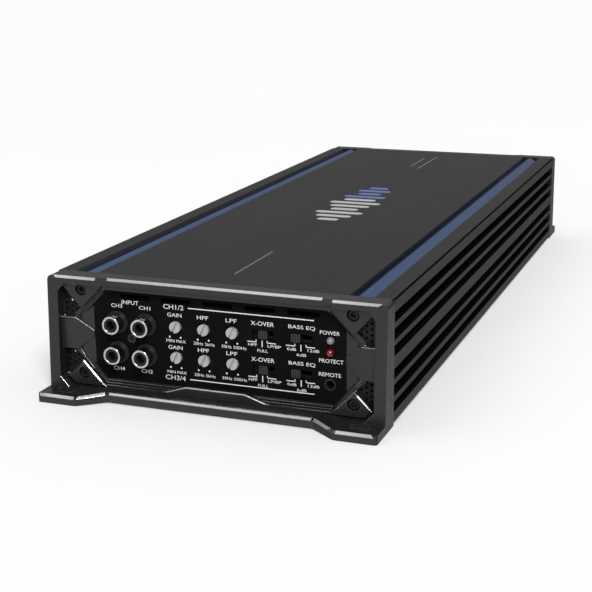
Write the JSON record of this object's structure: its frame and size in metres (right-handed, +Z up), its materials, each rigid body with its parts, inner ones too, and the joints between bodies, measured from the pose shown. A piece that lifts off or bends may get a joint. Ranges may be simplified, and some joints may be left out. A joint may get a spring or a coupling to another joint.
{
  "type": "car amplifier",
  "caption": "Long finned car audio amplifier with cast end caps and slotted feet, line inputs, level trimmers and slide switches in front, screw terminals and fuses behind.",
  "frame": {"origin": "on the floor plane under the centre of the case", "axes": "+Y along the case from the control end to the terminal end, +Z up, +X to the right when facing the controls"},
  "size_m": [0.16, 0.43, 0.056],
  "materials": {
    "black_anodised_case": "satin black anodised extrusion",
    "blue_anodised": "brushed blue anodised",
    "black_steel_plate": "black powder coat",
    "black_screw": "black oxide",
    "black_cast_cap": "satin black with bright cut edges",
    "black_mesh": "matte black",
    "black_panel": "fine matte black",
    "black_plastic": "moulded black",
    "nickel_shell": "bright nickel",
    "brass_contact": "gold plated",
    "clear_lamp": "cloudy clear lens",
    "red_lamp": "glossy red lens",
    "green_board": "green solder mask",
    "zinc_screw": "zinc plated",
    "ferrite": "dull grey ferrite",
    "copper_wire": "enamelled copper wire",
    "yellow_core": "yellow painted powdered iron core",
    "capacitor_sleeve": "shrink sleeve",
    "black_epoxy": "moulded epoxy",
    "grey_pad": "soft thermal pad",
    "plain_steel": "plain steel",
    "white_ceramic": "ceramic body",
    "plated_terminal": "tin plated brass",
    "green_fuse": "clear green plastic with plated blades",
    "grey_shaft": "light grey moulded",
    "black_knob": "ribbed black"
  },
  "bodies": {
    "amplifier": {"heatsink_body": "black_anodised_case", "accent_strip_left": "blue_anodised", "accent_strip_right": "blue_anodised", "bottom_plate": "black_steel_plate", "bottom_plate_screws": "black_screw", "front_end_cap": "black_cast_cap", "rear_end_cap": "black_cast_cap", "cap_screws": "black_screw", "window_grilles": "black_mesh", "front_control_panel": "black_panel", "rear_terminal_panel": "black_panel", "rca_block_housing": "black_plastic", "rca_shells": "nickel_shell", "rca_insulators": "black_plastic", "rca_center_contacts": "brass_contact", "rca_fixing_screw": "black_screw", "trimmer_bodies": "black_plastic", "switch_bodies": "black_plastic", "power_led": "clear_lamp", "protect_led": "red_lamp", "remote_jack": "black_plastic", "control_board": "green_board", "board_link_header": "black_plastic", "main_board": "green_board", "board_standoffs": "brass_contact", "board_screws": "zinc_screw", "transformer_core": "ferrite", "transformer_winding": "copper_wire", "transformer_bolt": "zinc_screw", "choke_core": "yellow_core", "choke_winding": "copper_wire", "input_capacitors": "capacitor_sleeve", "rail_capacitors": "capacitor_sleeve", "supply_transistors": "black_epoxy", "output_transistors": "black_epoxy", "insulator_pads": "grey_pad", "clamp_bars": "plain_steel", "clamp_screws": "zinc_screw", "emitter_resistors": "white_ceramic", "signal_chips": "black_epoxy", "power_terminal_block": "black_plastic", "power_terminals": "plated_terminal", "speaker_terminal_block": "black_plastic", "speaker_terminals": "plated_terminal", "terminal_screws": "black_screw", "fuse_holder": "black_plastic", "fuse_clips": "plated_terminal"},
    "gain_shaft_ch12": {"gain_shaft_ch12": "grey_shaft"},
    "hpf_shaft_ch12": {"hpf_shaft_ch12": "grey_shaft"},
    "lpf_shaft_ch12": {"lpf_shaft_ch12": "grey_shaft"},
    "crossover_knob_ch12": {"crossover_knob_ch12": "black_knob"},
    "bass_knob_ch12": {"bass_knob_ch12": "black_knob"},
    "gain_shaft_ch34": {"gain_shaft_ch34": "grey_shaft"},
    "hpf_shaft_ch34": {"hpf_shaft_ch34": "grey_shaft"},
    "lpf_shaft_ch34": {"lpf_shaft_ch34": "grey_shaft"},
    "crossover_knob_ch34": {"crossover_knob_ch34": "black_knob"},
    "bass_knob_ch34": {"bass_knob_ch34": "black_knob"},
    "fuse_a": {"fuse_a": "green_fuse"},
    "fuse_b": {"fuse_b": "green_fuse"}
  },
  "joints": [
    {"name": "gain_ch12_turn", "type": "hinge", "parent": "amplifier", "child": "gain_shaft_ch12", "pos_m": [-0.0197, -0.195, 0.0353], "axis": [0, 1, 0], "range_deg": [-175, 120]},
    {"name": "hpf_ch12_turn", "type": "hinge", "parent": "amplifier", "child": "hpf_shaft_ch12", "pos_m": [-0.00605, -0.195, 0.0353], "axis": [0, 1, 0], "range_deg": [-175, 120]},
    {"name": "lpf_ch12_turn", "type": "hinge", "parent": "amplifier", "child": "lpf_shaft_ch12", "pos_m": [0.0076, -0.195, 0.0353], "axis": [0, 1, 0], "range_deg": [-175, 120]},
    {"name": "crossover_ch12_slide", "type": "slide", "parent": "amplifier", "child": "crossover_knob_ch12", "axis": [1, 0, 0], "range_m": [-0.0028, 0.0028]},
    {"name": "bass_ch12_slide", "type": "slide", "parent": "amplifier", "child": "bass_knob_ch12", "axis": [1, 0, 0], "range_m": [0, 0.0056]},
    {"name": "gain_ch34_turn", "type": "hinge", "parent": "amplifier", "child": "gain_shaft_ch34", "pos_m": [-0.0197, -0.195, 0.0211], "axis": [0, 1, 0], "range_deg": [-175, 120]},
    {"name": "hpf_ch34_turn", "type": "hinge", "parent": "amplifier", "child": "hpf_shaft_ch34", "pos_m": [-0.00605, -0.195, 0.0211], "axis": [0, 1, 0], "range_deg": [-175, 120]},
    {"name": "lpf_ch34_turn", "type": "hinge", "parent": "amplifier", "child": "lpf_shaft_ch34", "pos_m": [0.0076, -0.195, 0.0211], "axis": [0, 1, 0], "range_deg": [-175, 120]},
    {"name": "crossover_ch34_slide", "type": "slide", "parent": "amplifier", "child": "crossover_knob_ch34", "axis": [1, 0, 0], "range_m": [-0.0028, 0.0028]},
    {"name": "bass_ch34_slide", "type": "slide", "parent": "amplifier", "child": "bass_knob_ch34", "axis": [1, 0, 0], "range_m": [0, 0.0056]},
    {"name": "fuse_a_pull", "type": "slide", "parent": "amplifier", "child": "fuse_a", "axis": [0, 1, 0], "range_m": [0, 0.018]},
    {"name": "fuse_b_pull", "type": "slide", "parent": "amplifier", "child": "fuse_b", "axis": [0, 1, 0], "range_m": [0, 0.018]}
  ]
}
